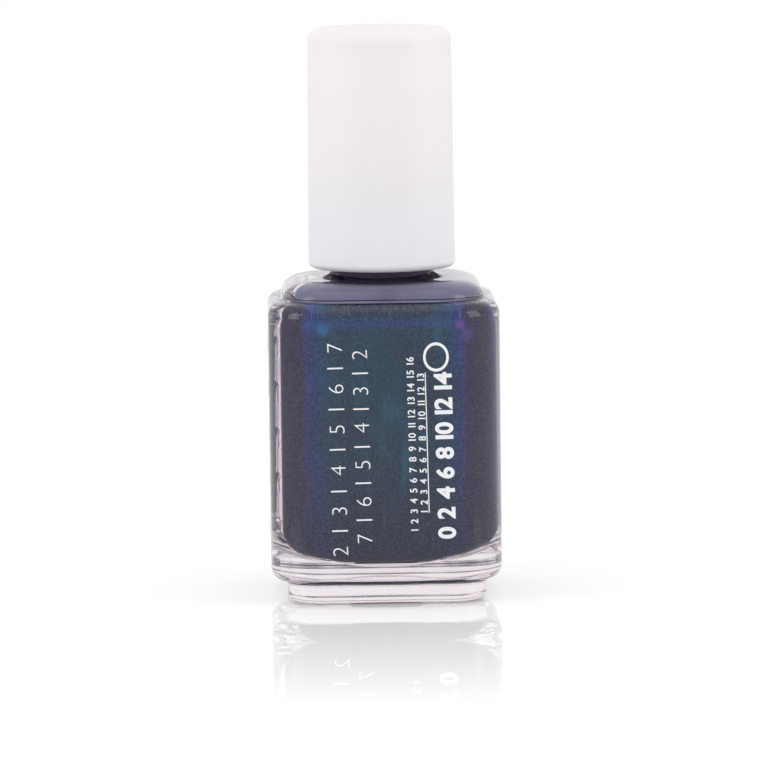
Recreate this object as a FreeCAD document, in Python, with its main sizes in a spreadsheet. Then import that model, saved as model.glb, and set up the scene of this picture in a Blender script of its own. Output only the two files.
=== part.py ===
import FreeCAD, Part
import math
import os
import Sketcher

# Nail polish bottle: a square glass bottle with a screw cap that carries the brush.
# Millimetres. +Z is up, the origin is the centre of the face that the bottle stands on,
# and the printed front of the bottle faces -Y.

doc = FreeCAD.newDocument("NailPolishBottle")
vector = FreeCAD.Vector

sizes = {
    # glass body, foot and shoulder
    "body_side": 30.4,
    "body_height": 36.9,
    "body_corner": 7.5,
    "base_round": 1.9,
    "shoulder_round": 1.9,
    "foot_step": 2.2,
    "foot_corner": 4.5,
    "foot_height": 2.7,
    "foot_edge": 1.0,
    "plinth_step": 2.0,
    "plinth_corner": 7.0,
    "plinth_height": 2.45,
    "plinth_round": 2.1,
    # inside of the glass
    "glass_wall": 3.5,
    "glass_floor": 4.8,
    "shoulder_glass": 1.5,
    "cavity_corner": 7.0,
    "cavity_round": 4.8,
    "funnel_round": 1.2,
    # recess under the foot, with its blank label
    "foot_rim": 2.8,
    "recess_corner": 3.0,
    "recess_depth": 0.6,
    "label_margin": 1.0,
    "label_thickness": 0.15,
    # raised grip bars on both sides of the glass
    "grip_length": 12.0,
    "grip_height": 3.2,
    "grip_proud": 0.35,
    "grip_pitch": 6.0,
    "grip_count": 5,
    # neck finish
    "neck_radius": 6.6,
    "neck_height": 12.65,
    "neck_wall": 2.2,
    "rim_round": 0.5,
    "thread_pitch": 2.117,
    "thread_depth": 0.6,
    "thread_root": 1.3,
    "thread_crest": 0.6,
    "thread_turns": 1.5,
    "thread_drop": 1.6,
    # polish and mixing balls
    "liquid_gap": 0.05,
    "air_space": 7.0,
    "well_gap": 0.7,
    "well_floor": 0.8,
    "ball_radius": 2.0,
    "ball_aside": 3.6,
    "ball_play": 0.5,
    # sealing ring between the rim and the stem's flange
    "running_gap": 0.05,
    "ring_thickness": 1.0,
    "ring_play": 0.35,
    "plug_depth": 0.9,
    "plug_gap": 0.1,
    # threaded inner cap
    "groove_depth": 0.4,
    "groove_lead": 1.0,
    "groove_run_out": 0.5,
    "skirt_wall": 0.5,
    "plate_thickness": 1.2,
    "rib_count": 24,
    "rib_depth": 0.3,
    "rib_width": 0.7,
    "tower_radius": 4.6,
    "tower_wall": 1.1,
    "fin_count": 6,
    "fin_width": 0.8,
    "fin_height": 9.0,
    # outer cap
    "cap_gap": 1.2,
    "cap_height": 31.9,
    "cap_wall": 0.95,
    "cap_draft": 0.25,
    "cap_play": 0.05,
    "cap_roof": 1.3,
    "cap_dome": 0.4,
    "cap_edge": 1.6,
    "cap_lip": 0.9,
    "bead_height": 0.5,
    "bead_depth": 0.45,
    "key_count": 6,
    "key_depth": 0.3,
    "key_width": 0.9,
    # stem with its flange, spigot and brush socket
    "flange_thickness": 1.0,
    "flange_play": 0.65,
    "spigot_radius": 2.2,
    "spigot_height": 4.0,
    "spigot_fit": 0.02,
    "stem_radius": 2.3,
    "stem_tip_radius": 1.5,
    "stem_straight": 3.0,
    "ferrule_length": 4.0,
    "ferrule_wall": 0.6,
    "socket_width": 3.2,
    "socket_thickness": 1.6,
    "socket_depth": 3.0,
    # bristles and the anchor that holds them
    "bristle_length": 14.5,
    "belly_width": 4.6,
    "belly_thickness": 2.0,
    "belly_drop": 8.0,
    "tip_width": 3.4,
    "tip_thickness": 1.0,
    "tip_gap": 2.7,
    "anchor_play": 0.1,
    "anchor_thickness": 0.4,
    "anchor_height": 1.4,
    "anchor_depth": 0.8,
}

sheet = doc.addObject("Spreadsheet::Sheet", "Sizes")
for row, (alias, size) in enumerate(sizes.items(), start=1):
    sheet.set(f"A{row}", alias)
    sheet.set(f"B{row}", str(size))
    sheet.setAlias(f"B{row}", alias)
doc.recompute()

# Places that follow from the sizes, as expressions on the sheet.
foot_side = "(Sizes.body_side - 2 * Sizes.foot_step)"
plinth_side = "(Sizes.body_side - 2 * Sizes.plinth_step)"
recess_side = f"({foot_side} - 2 * Sizes.foot_rim)"
shoulder = "(Sizes.foot_height + Sizes.body_height)"
body_middle = "(Sizes.foot_height + Sizes.body_height / 2)"
plinth_top = f"({shoulder} + Sizes.plinth_height)"
cavity_side = "(Sizes.body_side - 2 * Sizes.glass_wall)"
cavity_top = f"({plinth_top} - Sizes.shoulder_glass)"
fill_level = f"({cavity_top} - Sizes.air_space)"
mouth_radius = "(Sizes.neck_radius - Sizes.neck_wall)"
rim = f"({plinth_top} + Sizes.neck_height)"
thread_radius = "(Sizes.neck_radius + Sizes.thread_depth)"
thread_height = "(Sizes.thread_turns * Sizes.thread_pitch)"
thread_start = f"({rim} - Sizes.thread_drop - {thread_height})"
thread_slope = "((Sizes.thread_root - Sizes.thread_crest) / 2)"
ring_top = f"({rim} + Sizes.ring_thickness)"
ring_bore = "(Sizes.stem_radius + Sizes.running_gap)"
plate_under = f"({ring_top} + Sizes.flange_thickness)"
plate_top = f"({plate_under} + Sizes.plate_thickness)"
inner_bore = f"({thread_radius} + Sizes.running_gap)"
skirt_radius = f"({inner_bore} + Sizes.groove_depth + Sizes.skirt_wall)"
rib_radius = f"({skirt_radius} + Sizes.rib_depth)"
cap_bottom = f"({plinth_top} + Sizes.cap_gap)"
cap_top = f"({cap_bottom} + Sizes.cap_height)"
cap_bore = f"({rib_radius} + Sizes.cap_play)"
cap_top_radius = f"({cap_bore} + Sizes.cap_wall)"
cap_foot_radius = f"({cap_top_radius} + Sizes.cap_draft)"
roof_under = f"({cap_top} - Sizes.cap_dome - Sizes.cap_roof)"
skirt_bottom = f"({cap_bottom} + Sizes.bead_height)"
brush_tip = "(Sizes.glass_floor + Sizes.tip_gap)"
ferrule_bottom = f"({brush_tip} + Sizes.bristle_length)"
ferrule_top = f"({ferrule_bottom} + Sizes.ferrule_length)"
socket_top = f"({ferrule_bottom} + Sizes.socket_depth)"
anchor_bottom = f"({socket_top} - Sizes.anchor_depth - Sizes.anchor_height)"
well_radius = "(Sizes.belly_width / 2 + Sizes.well_gap)"
nearly = 0.001
quarter_turn = math.pi / 2


def value(expression):
    return float(sheet.evalExpression(expression))


def new_body(name):
    body = doc.addObject("PartDesign::Body", name)
    body.Label = name
    return body


def origin_plane(body, role):
    return next(item for item in body.Origin.OriginFeatures if item.Role == role)


# A sketch on one of the body's own origin planes, moved along the plane's normal by height.
def new_sketch(body, name, role="XY_Plane", height="0"):
    sketch = body.newObject("Sketcher::SketchObject", name)
    sketch.AttachmentSupport = [(origin_plane(body, role), "")]
    sketch.MapMode = "FlatFace"
    sketch.setExpression("AttachmentOffset.Base.z", height)
    return sketch


# Sets how far a point lies from the origin, measured ahead along the axis or back from it.
def set_distance(sketch, kind, line, end, expression, ahead=True):
    size = value(expression)
    if ahead:
        distance = Sketcher.Constraint(kind, -1, 1, line, end, size)
    else:
        distance = Sketcher.Constraint(kind, line, end, -1, 1, size)
    index = sketch.addConstraint(distance)
    sketch.setExpression(f"Constraints[{index}]", expression)


def set_radius(sketch, line, expression):
    index = sketch.addConstraint(Sketcher.Constraint("Radius", line, value(expression)))
    sketch.setExpression(f"Constraints[{index}]", expression)


# Ties the start of a line to its place across and up, a zero lying on the axis itself.
def tie_start(sketch, line, across, up):
    for kind, axis, expression in (("DistanceX", -2, across), ("DistanceY", -1, up)):
        if expression == "0":
            sketch.addConstraint(Sketcher.Constraint("PointOnObject", line, 1, axis))
        else:
            set_distance(sketch, kind, line, 1, expression)


# A closed outline through corners given as pairs of expressions. The side that leaves the corner
# numbered dome is an arc centred on the upright axis, which rises to the next corner on that axis.
def draw_outline(sketch, corners, dome=None):
    points = [vector(value(across), value(up), 0) for across, up in corners]
    for index, start in enumerate(points):
        end = points[(index + 1) % len(points)]
        if index == dome:
            rise = end.y - start.y
            radius = (start.x ** 2 + rise ** 2) / (2 * rise)
            half_way = start.x / 2
            height = end.y - radius + (radius ** 2 - half_way ** 2) ** 0.5
            sketch.addGeometry(Part.Arc(start, vector(half_way, height, 0), end), False)
        else:
            sketch.addGeometry(Part.LineSegment(start, end), False)
    for index, (across, up) in enumerate(corners):
        following = (index + 1) % len(corners)
        if index == dome:
            sketch.addConstraint(Sketcher.Constraint("PointOnObject", index, 3, -2))
        sketch.addConstraint(Sketcher.Constraint("Coincident", index, 2, following, 1))
        tie_start(sketch, index, across, up)


# A square centred on the origin with round corners.
def draw_rounded_square(sketch, side, corner):
    half = value(side) / 2
    radius = value(corner)
    inner = half - radius
    spots = [(1, -1), (1, 1), (-1, 1), (-1, -1)]
    # four straight sides, anticlockwise from the one at -Y, then the four corner arcs
    starts = [(-inner, -half), (half, -inner), (inner, half), (-half, inner)]
    ends = [(inner, -half), (half, inner), (-inner, half), (-half, -inner)]
    for start, end in zip(starts, ends):
        sketch.addGeometry(Part.LineSegment(vector(*start, 0), vector(*end, 0)), False)
    for index, (across, up) in enumerate(spots):
        circle = Part.Circle(vector(across * inner, up * inner, 0), vector(0, 0, 1), radius)
        first = (index - 1) * quarter_turn
        sketch.addGeometry(Part.ArcOfCircle(circle, first, first + quarter_turn), False)
    for index in range(4):
        following = (index + 1) % 4
        sketch.addConstraint(Sketcher.Constraint("Tangent", index, 2, 4 + index, 1))
        sketch.addConstraint(Sketcher.Constraint("Tangent", 4 + index, 2, following, 1))
        sketch.addConstraint(Sketcher.Constraint("Horizontal" if index % 2 == 0 else "Vertical", index))
    for index in range(3):
        sketch.addConstraint(Sketcher.Constraint("Equal", 4 + index, 5 + index))
    for kind, line, ahead in (("DistanceY", 0, False), ("DistanceX", 1, True),
                              ("DistanceY", 2, True), ("DistanceX", 3, False)):
        set_distance(sketch, kind, line, 1, f"{side} / 2", ahead)
    set_radius(sketch, 4, corner)


def draw_circle(sketch, radius):
    sketch.addGeometry(Part.Circle(vector(0, 0, 0), vector(0, 0, 1), value(radius)), False)
    sketch.addConstraint(Sketcher.Constraint("Coincident", 0, 3, -1, 1))
    set_radius(sketch, 0, radius)


# A slot shape centred on the origin: two straight sides joined by half circles.
def draw_slot(sketch, width, thickness):
    radius = value(thickness) / 2
    reach = value(width) / 2 - radius
    right = Part.Circle(vector(reach, 0, 0), vector(0, 0, 1), radius)
    left = Part.Circle(vector(-reach, 0, 0), vector(0, 0, 1), radius)
    sketch.addGeometry(Part.LineSegment(vector(-reach, -radius, 0), vector(reach, -radius, 0)), False)
    sketch.addGeometry(Part.ArcOfCircle(right, -quarter_turn, quarter_turn), False)
    sketch.addGeometry(Part.LineSegment(vector(reach, radius, 0), vector(-reach, radius, 0)), False)
    sketch.addGeometry(Part.ArcOfCircle(left, quarter_turn, 3 * quarter_turn), False)
    for index in range(4):
        following = (index + 1) % 4
        sketch.addConstraint(Sketcher.Constraint("Tangent", index, 2, following, 1))
    sketch.addConstraint(Sketcher.Constraint("Horizontal", 0))
    sketch.addConstraint(Sketcher.Constraint("Equal", 1, 3))
    sketch.addConstraint(Sketcher.Constraint("PointOnObject", 1, 3, -1))
    for arc, ahead in ((1, True), (3, False)):
        set_distance(sketch, "DistanceX", arc, 3, f"({width} - {thickness}) / 2", ahead)
    set_radius(sketch, 1, f"{thickness} / 2")


# A rectangle from one distance along X to another, as wide each side of the X axis.
def draw_bar(sketch, near, far, width):
    half = f"({width} / 2)"
    below = value(half)
    start = value(near)
    end = value(far)
    points = [
        vector(start, -below, 0),
        vector(end, -below, 0),
        vector(end, below, 0),
        vector(start, below, 0),
    ]
    for index in range(4):
        sketch.addGeometry(Part.LineSegment(points[index], points[(index + 1) % 4]), False)
    for index in range(4):
        following = (index + 1) % 4
        sketch.addConstraint(Sketcher.Constraint("Coincident", index, 2, following, 1))
        sketch.addConstraint(Sketcher.Constraint("Horizontal" if index % 2 == 0 else "Vertical", index))
    set_distance(sketch, "DistanceX", 3, 1, near)
    set_distance(sketch, "DistanceX", 1, 1, far)
    set_distance(sketch, "DistanceY", 0, 1, half, ahead=False)
    set_distance(sketch, "DistanceY", 2, 1, half)


def pad(body, name, sketch, length):
    feature = body.newObject("PartDesign::Pad", name)
    feature.Profile = sketch
    feature.setExpression("Length", length)
    doc.recompute()
    return feature


# Cuts down from the sketch, or up from it where upward is true.
def pocket(body, name, sketch, length, upward=False):
    before = body.Shape.Volume
    feature = body.newObject("PartDesign::Pocket", name)
    feature.Profile = sketch
    feature.Reversed = upward
    feature.setExpression("Length", length)
    doc.recompute()
    if feature.Shape.Volume > before - nearly:
        raise RuntimeError(f"{name} cuts nothing")
    return feature


def revolve(body, name, sketch):
    feature = body.newObject("PartDesign::Revolution", name)
    feature.Profile = sketch
    feature.ReferenceAxis = (sketch, ["V_Axis"])
    feature.Angle = 360
    doc.recompute()
    return feature


def helix(body, name, kind, sketch, height):
    feature = body.newObject(kind, name)
    feature.Profile = sketch
    feature.ReferenceAxis = (sketch, ["V_Axis"])
    feature.Mode = "pitch-height-angle"
    feature.setExpression("Pitch", "Sizes.thread_pitch")
    feature.setExpression("Height", height)
    doc.recompute()
    return feature


def polar(body, name, feature, count):
    pattern = body.newObject("PartDesign::PolarPattern", name)
    pattern.Originals = [feature]
    pattern.Axis = (origin_plane(body, "Z_Axis"), [""])
    pattern.Angle = 360
    pattern.setExpression("Occurrences", count)
    body.Tip = pattern
    doc.recompute()
    return pattern


# Rounds the edges for which the test holds. The test is given each edge of the base feature.
def fillet(body, name, base, radius, test):
    edges = [f"Edge{index}" for index, edge in enumerate(base.Shape.Edges, start=1) if test(edge)]
    feature = body.newObject("PartDesign::Fillet", name)
    feature.Base = (base, edges)
    feature.setExpression("Radius", radius)
    doc.recompute()
    return feature


# Whether an edge lies flat at a height, within reach of the axis and no nearer to it than past.
def lies_at(edge, height, reach, past=0.0):
    box = edge.BoundBox
    level = value(height)
    flat = abs(box.ZMin - level) < nearly and abs(box.ZMax - level) < nearly
    spread = max(abs(box.XMin), abs(box.XMax), abs(box.YMin), abs(box.YMax))
    return flat and past - nearly < spread < value(reach) + nearly


# ---------------------------------------------------------------- glass bottle


def make_glass_bottle():
    body = new_body("glass_bottle")

    outline = new_sketch(body, "BodyPlan", height="Sizes.foot_height")
    draw_rounded_square(outline, "Sizes.body_side", "Sizes.body_corner")
    block = pad(body, "Block", outline, "Sizes.body_height")
    block = fillet(body, "BaseRound", block, "Sizes.base_round",
                   lambda edge: lies_at(edge, "Sizes.foot_height", "Sizes.body_side / 2"))
    fillet(body, "ShoulderRound", block, "Sizes.shoulder_round",
           lambda edge: lies_at(edge, shoulder, "Sizes.body_side / 2"))

    outline = new_sketch(body, "FootPlan")
    draw_rounded_square(outline, foot_side, "Sizes.foot_corner")
    foot = pad(body, "Foot", outline, "Sizes.foot_height + Sizes.base_round")
    fillet(body, "FootEdge", foot, "Sizes.foot_edge",
           lambda edge: lies_at(edge, "0", f"{foot_side} / 2"))

    outline = new_sketch(body, "PlinthPlan", height=f"{shoulder} - Sizes.shoulder_round")
    draw_rounded_square(outline, plinth_side, "Sizes.plinth_corner")
    plinth = pad(body, "Plinth", outline, "Sizes.shoulder_round + Sizes.plinth_height")
    fillet(body, "PlinthRound", plinth, "Sizes.plinth_round",
           lambda edge: lies_at(edge, plinth_top, f"{plinth_side} / 2"))

    outline = new_sketch(body, "NeckPlan", height=f"{plinth_top} - Sizes.plinth_height")
    draw_circle(outline, "Sizes.neck_radius")
    pad(body, "Neck", outline, "Sizes.plinth_height + Sizes.neck_height")

    outline = new_sketch(body, "CavityPlan", height="Sizes.glass_floor")
    draw_rounded_square(outline, cavity_side, "Sizes.cavity_corner")
    cavity = pocket(body, "Cavity", outline, f"{cavity_top} - Sizes.glass_floor", upward=True)
    cavity = fillet(body, "CavityFloorRound", cavity, "Sizes.cavity_round",
                    lambda edge: lies_at(edge, "Sizes.glass_floor", f"{cavity_side} / 2"))
    fillet(body, "CavityTopRound", cavity, "Sizes.cavity_round",
           lambda edge: lies_at(edge, cavity_top, f"{cavity_side} / 2"))

    outline = new_sketch(body, "MouthPlan", height=rim)
    draw_circle(outline, mouth_radius)
    mouth = pocket(body, "Mouth", outline, f"{rim} - {cavity_top} + Sizes.funnel_round")
    mouth = fillet(body, "Funnel", mouth, "Sizes.funnel_round",
                   lambda edge: lies_at(edge, cavity_top, mouth_radius))
    fillet(body, "RimRound", mouth, "Sizes.rim_round",
           lambda edge: lies_at(edge, rim, "Sizes.neck_radius"))

    profile = new_sketch(body, "ThreadProfile", "XZ_Plane")
    root = "Sizes.neck_radius - Sizes.rim_round"
    draw_outline(profile, [
        (root, thread_start),
        (thread_radius, f"{thread_start} + {thread_slope}"),
        (thread_radius, f"{thread_start} + {thread_slope} + Sizes.thread_crest"),
        (root, f"{thread_start} + Sizes.thread_root"),
    ])
    helix(body, "Thread", "PartDesign::AdditiveHelix", profile, thread_height)

    outline = new_sketch(body, "RecessPlan")
    draw_rounded_square(outline, recess_side, "Sizes.recess_corner")
    pocket(body, "Recess", outline, "Sizes.recess_depth", upward=True)

    grip_span = "(Sizes.grip_pitch * (Sizes.grip_count - 1))"
    bars = []
    for name, side in (("GripRight", 1), ("GripLeft", -1)):
        bar = body.newObject("PartDesign::AdditiveEllipsoid", name)
        bar.setExpression("Radius1", "Sizes.grip_height / 2")
        bar.setExpression("Radius2", "Sizes.grip_proud")
        bar.setExpression("Radius3", "Sizes.grip_length / 2")
        bar.setExpression("Placement.Base.x", f"{side} * Sizes.body_side / 2")
        bar.setExpression("Placement.Base.z", f"{body_middle} - {grip_span} / 2")
        bars.append(bar)
    doc.recompute()
    pattern = body.newObject("PartDesign::LinearPattern", "GripBars")
    pattern.Originals = bars
    pattern.Direction = (origin_plane(body, "Z_Axis"), [""])
    pattern.setExpression("Length", grip_span)
    pattern.setExpression("Occurrences", "Sizes.grip_count")
    body.Tip = pattern
    doc.recompute()
    return body


# A blank sticker on the roof of the recess, clear of the surface that the foot stands on.
def make_base_label():
    body = new_body("base_label")
    outline = new_sketch(body, "LabelPlan", height="Sizes.recess_depth - Sizes.label_thickness")
    label_side = f"({recess_side} - 2 * Sizes.label_margin)"
    draw_rounded_square(outline, label_side, "Sizes.recess_corner")
    pad(body, "Sheet", outline, "Sizes.label_thickness")
    return body


# ---------------------------------------------------------------- polish and mixing balls


ball_reach = f"({cavity_side} / 2 - Sizes.cavity_round - Sizes.ball_play)"
ball_places = {
    "mixing_ball_1": (ball_reach, "-Sizes.ball_aside"),
    "mixing_ball_2": ("-Sizes.ball_aside", ball_reach),
}
ball_centre = "(Sizes.glass_floor + Sizes.ball_radius)"


# The liquid fills the cavity to its level, round the balls and a straight well for the brush.
def make_polish():
    body = new_body("polish")
    side = f"({cavity_side} - 2 * Sizes.liquid_gap)"
    bottom = "(Sizes.glass_floor + Sizes.liquid_gap)"
    outline = new_sketch(body, "LiquidPlan", height=bottom)
    draw_rounded_square(outline, side, "Sizes.cavity_corner - Sizes.liquid_gap")
    liquid = pad(body, "Liquid", outline, f"{fill_level} - {bottom}")
    fillet(body, "LiquidRound", liquid, "Sizes.cavity_round - Sizes.liquid_gap",
           lambda edge: lies_at(edge, bottom, f"{side} / 2"))
    outline = new_sketch(body, "WellPlan", height=fill_level)
    draw_circle(outline, well_radius)
    pocket(body, "Well", outline, f"{fill_level} - Sizes.glass_floor - Sizes.well_floor")
    for name, (across, back) in ball_places.items():
        hollow = body.newObject("PartDesign::SubtractiveSphere", f"Round_{name}")
        hollow.setExpression("Radius", "Sizes.ball_radius + Sizes.liquid_gap")
        hollow.setExpression("Placement.Base.x", across)
        hollow.setExpression("Placement.Base.y", back)
        hollow.setExpression("Placement.Base.z", ball_centre)
    doc.recompute()
    return body


def make_mixing_ball(name):
    across, back = ball_places[name]
    ball = doc.addObject("Part::Sphere", name)
    ball.Label = name
    ball.setExpression("Radius", "Sizes.ball_radius")
    ball.setExpression("Placement.Base.x", across)
    ball.setExpression("Placement.Base.y", back)
    ball.setExpression("Placement.Base.z", ball_centre)
    return ball


# ---------------------------------------------------------------- cap


# A soft ring: it lies on the rim, plugs the mouth and lets the stem turn in its bore.
def make_sealing_ring():
    body = new_body("sealing_ring")
    profile = new_sketch(body, "RingProfile", "XZ_Plane")
    plug_radius = f"{mouth_radius} - Sizes.plug_gap"
    plug_bottom = f"{rim} - Sizes.plug_depth"
    ring_radius = f"{inner_bore} - Sizes.ring_play"
    draw_outline(profile, [
        (ring_bore, plug_bottom),
        (plug_radius, plug_bottom),
        (plug_radius, rim),
        (ring_radius, rim),
        (ring_radius, ring_top),
        (ring_bore, ring_top),
    ])
    revolve(body, "Ring", profile)
    return body


# The skirt carries the thread groove and outer ribs; the finned tower reaches the cap's roof.
def make_inner_cap():
    body = new_body("inner_cap")
    profile = new_sketch(body, "ShellProfile", "XZ_Plane")
    tower_bore = "Sizes.tower_radius - Sizes.tower_wall"
    plate_hole = "Sizes.spigot_radius + Sizes.spigot_fit"
    draw_outline(profile, [
        (inner_bore, skirt_bottom),
        (skirt_radius, skirt_bottom),
        (skirt_radius, plate_top),
        ("Sizes.tower_radius", plate_top),
        ("Sizes.tower_radius", roof_under),
        (tower_bore, roof_under),
        (tower_bore, plate_top),
        (plate_hole, plate_top),
        (plate_hole, plate_under),
        (inner_bore, plate_under),
    ])
    revolve(body, "Shell", profile)

    profile = new_sketch(body, "GrooveProfile", "XZ_Plane")
    start = f"({thread_start} - Sizes.groove_lead * Sizes.thread_pitch)"
    mouth = f"({inner_bore} - Sizes.running_gap)"
    floor = f"({inner_bore} + Sizes.groove_depth)"
    draw_outline(profile, [
        (mouth, start),
        (floor, f"{start} + {thread_slope}"),
        (floor, f"{start} + {thread_slope} + Sizes.thread_crest"),
        (mouth, f"{start} + Sizes.thread_root"),
    ])
    helix(body, "Groove", "PartDesign::SubtractiveHelix", profile,
          f"{thread_height} + (Sizes.groove_lead + Sizes.groove_run_out) * Sizes.thread_pitch")

    outline = new_sketch(body, "RibPlan", height=skirt_bottom)
    draw_bar(outline, f"{skirt_radius} - Sizes.skirt_wall / 2", rib_radius, "Sizes.rib_width")
    rib = pad(body, "Rib", outline, f"{plate_top} - {skirt_bottom}")
    polar(body, "Ribs", rib, "Sizes.rib_count")

    outline = new_sketch(body, "FinPlan", height=plate_top)
    draw_bar(outline, "Sizes.tower_radius - Sizes.tower_wall / 2", skirt_radius, "Sizes.fin_width")
    fin = pad(body, "Fin", outline, "Sizes.fin_height")
    polar(body, "Fins", fin, "Sizes.fin_count")
    return body


# The smooth outer shell, with a bead under the inner cap's skirt and keys between its ribs.
def make_overcap():
    body = new_body("overcap")
    profile = new_sketch(body, "CapProfile", "XZ_Plane")
    bead = f"{cap_bore} - Sizes.bead_depth"
    brow = f"{cap_top} - Sizes.cap_dome"
    draw_outline(profile, [
        (cap_foot_radius, cap_bottom),
        (cap_top_radius, brow),
        ("0", cap_top),
        ("0", roof_under),
        (cap_bore, roof_under),
        (cap_bore, skirt_bottom),
        (bead, skirt_bottom),
        (bead, cap_bottom),
    ], dome=1)
    shell = revolve(body, "Shell", profile)
    shell = fillet(body, "TopEdge", shell, "Sizes.cap_edge",
                   lambda edge: lies_at(edge, brow, cap_top_radius, past=value(cap_bore)))
    fillet(body, "BottomLip", shell, "Sizes.cap_lip",
           lambda edge: lies_at(edge, cap_bottom, cap_foot_radius, past=value(cap_bore)))

    outline = new_sketch(body, "KeyPlan", height=skirt_bottom)
    outline.AttachmentOffset = FreeCAD.Placement(vector(0, 0, 0), FreeCAD.Rotation(vector(0, 0, 1), 1))
    outline.setExpression("AttachmentOffset.Rotation.Angle", "180 deg / Sizes.rib_count")
    wall_middle = f"{cap_bore} + Sizes.cap_wall / 2"
    draw_bar(outline, f"{cap_bore} - Sizes.key_depth", wall_middle, "Sizes.key_width")
    key = pad(body, "Key", outline, f"{roof_under} - {skirt_bottom}")
    polar(body, "Keys", key, "Sizes.key_count")
    return body


# ---------------------------------------------------------------- stem and brush


def make_stem():
    body = new_body("stem")
    profile = new_sketch(body, "StemProfile", "XZ_Plane")
    straight_end = f"{ring_top} - Sizes.stem_straight"
    spigot_top = f"{plate_under} + Sizes.spigot_height"
    flange_radius = f"{inner_bore} - Sizes.flange_play"
    draw_outline(profile, [
        ("0", ferrule_top),
        ("Sizes.stem_tip_radius", ferrule_top),
        ("Sizes.stem_radius", straight_end),
        ("Sizes.stem_radius", ring_top),
        (flange_radius, ring_top),
        (flange_radius, plate_under),
        ("Sizes.spigot_radius", plate_under),
        ("Sizes.spigot_radius", spigot_top),
        ("0", spigot_top),
    ])
    revolve(body, "Rod", profile)
    outline = new_sketch(body, "FerrulePlan", height=ferrule_bottom)
    ferrule_width = "(Sizes.socket_width + 2 * Sizes.ferrule_wall)"
    ferrule_thickness = "(Sizes.socket_thickness + 2 * Sizes.ferrule_wall)"
    draw_slot(outline, ferrule_width, ferrule_thickness)
    pad(body, "Ferrule", outline, "Sizes.ferrule_length")
    outline = new_sketch(body, "SocketPlan", height=ferrule_bottom)
    draw_slot(outline, "Sizes.socket_width", "Sizes.socket_thickness")
    pocket(body, "Socket", outline, "Sizes.socket_depth", upward=True)
    return body


# A flat metal plate across the tuft, inside the socket.
def make_brush_anchor():
    body = new_body("brush_anchor")
    outline = new_sketch(body, "AnchorPlan", height=anchor_bottom)
    anchor_width = "(Sizes.socket_width - 2 * Sizes.anchor_play)"
    draw_slot(outline, anchor_width, "Sizes.anchor_thickness")
    pad(body, "Plate", outline, "Sizes.anchor_height")
    return body


def make_bristles():
    body = new_body("bristles")
    outline = new_sketch(body, "TuftPlan", height=ferrule_bottom)
    draw_slot(outline, "Sizes.socket_width", "Sizes.socket_thickness")
    pad(body, "Tuft", outline, "Sizes.socket_depth")
    sections = []
    for name, height, width, thickness in (
        ("FlarePlan", ferrule_bottom, "Sizes.socket_width", "Sizes.socket_thickness"),
        ("BellyPlan", f"{ferrule_bottom} - Sizes.belly_drop", "Sizes.belly_width", "Sizes.belly_thickness"),
        ("TipPlan", brush_tip, "Sizes.tip_width", "Sizes.tip_thickness"),
    ):
        section = new_sketch(body, name, height=height)
        draw_slot(section, width, thickness)
        sections.append(section)
    doc.recompute()
    flare = body.newObject("PartDesign::AdditiveLoft", "Flare")
    flare.Profile = sections[0]
    flare.Sections = sections[1:]
    doc.recompute()
    outline = new_sketch(body, "FoldPlan", height=anchor_bottom)
    draw_bar(outline, "-Sizes.socket_width", "Sizes.socket_width", "Sizes.anchor_thickness")
    pocket(body, "Fold", outline, "Sizes.anchor_height", upward=True)
    return body


parts = [
    make_glass_bottle(),
    make_base_label(),
    make_polish(),
    make_mixing_ball("mixing_ball_1"),
    make_mixing_ball("mixing_ball_2"),
    make_sealing_ring(),
    make_inner_cap(),
    make_overcap(),
    make_stem(),
    make_brush_anchor(),
    make_bristles(),
]
doc.recompute()

for item in doc.Objects:
    if "Invalid" in item.State or "Error" in item.State:
        raise RuntimeError(f"{item.Name} did not compute: {item.State}")
for part in parts:
    if part.Shape.isNull() or not part.Shape.isValid() or len(part.Shape.Solids) != 1:
        raise RuntimeError(f"{part.Label} is not one sound solid")

os.makedirs("parts", exist_ok=True)
for part in parts:
    part.Shape.exportStep(os.path.join("parts", f"{part.Label}.step"))
    box = part.Shape.BoundBox
    print(f"{part.Label}: {part.Shape.Volume:.1f} mm3, z {box.ZMin:.2f} to {box.ZMax:.2f}")
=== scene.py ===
import math

import bmesh
import bpy
from mathutils import Matrix, Vector


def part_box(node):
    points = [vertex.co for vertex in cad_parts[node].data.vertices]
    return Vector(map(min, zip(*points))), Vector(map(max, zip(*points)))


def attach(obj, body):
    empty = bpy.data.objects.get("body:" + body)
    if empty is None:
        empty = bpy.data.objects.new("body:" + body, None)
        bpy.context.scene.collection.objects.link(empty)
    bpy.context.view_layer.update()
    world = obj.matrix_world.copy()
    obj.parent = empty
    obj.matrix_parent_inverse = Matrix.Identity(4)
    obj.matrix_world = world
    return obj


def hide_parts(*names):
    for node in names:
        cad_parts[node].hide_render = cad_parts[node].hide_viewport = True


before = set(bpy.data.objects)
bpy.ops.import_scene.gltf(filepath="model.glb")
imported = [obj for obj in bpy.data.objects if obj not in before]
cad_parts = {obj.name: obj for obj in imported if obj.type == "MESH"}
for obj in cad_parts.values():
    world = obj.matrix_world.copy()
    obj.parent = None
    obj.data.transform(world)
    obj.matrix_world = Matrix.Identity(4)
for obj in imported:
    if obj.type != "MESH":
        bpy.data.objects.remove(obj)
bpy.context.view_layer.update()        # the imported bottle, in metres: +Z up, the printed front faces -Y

mm = 0.001

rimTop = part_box("glass_bottle")[1].z
capLow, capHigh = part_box("overcap")
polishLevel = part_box("polish")[1].z
tuftLow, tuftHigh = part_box("bristles")
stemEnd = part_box("stem")[0].z
print("frame loaded, bottle", round(rimTop / mm, 2), "mm, cap top", round(capHigh.z / mm, 2), "mm")


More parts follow.
